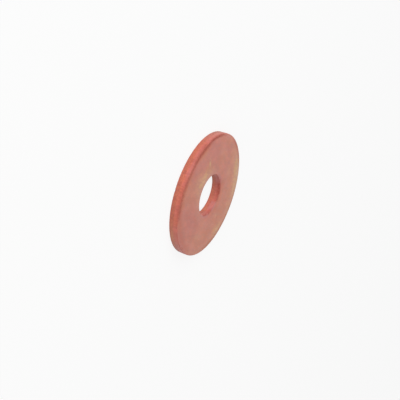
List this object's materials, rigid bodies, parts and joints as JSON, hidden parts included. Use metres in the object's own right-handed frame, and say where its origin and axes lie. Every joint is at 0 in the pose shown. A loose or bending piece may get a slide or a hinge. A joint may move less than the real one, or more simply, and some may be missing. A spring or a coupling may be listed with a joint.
{
  "type": "flat sealing washer",
  "caption": "Flat round sealing washer punched from copper-red vulcanised fibre sheet, with a plain centre hole; it is clamped under a screw head, nut or plug.",
  "frame": {"origin": "centre of the lower face, on the axis of the hole", "axes": "+Z along the axis of the hole, out of the upper face, the one with the rolled edges; X and Y lie in the lower face"},
  "size_m": [0.015, 0.015, 0.0012],
  "materials": {
    "red_fibre": "matte"
  },
  "bodies": {
    "root": {"washer": "red_fibre"}
  },
  "joints": []
}
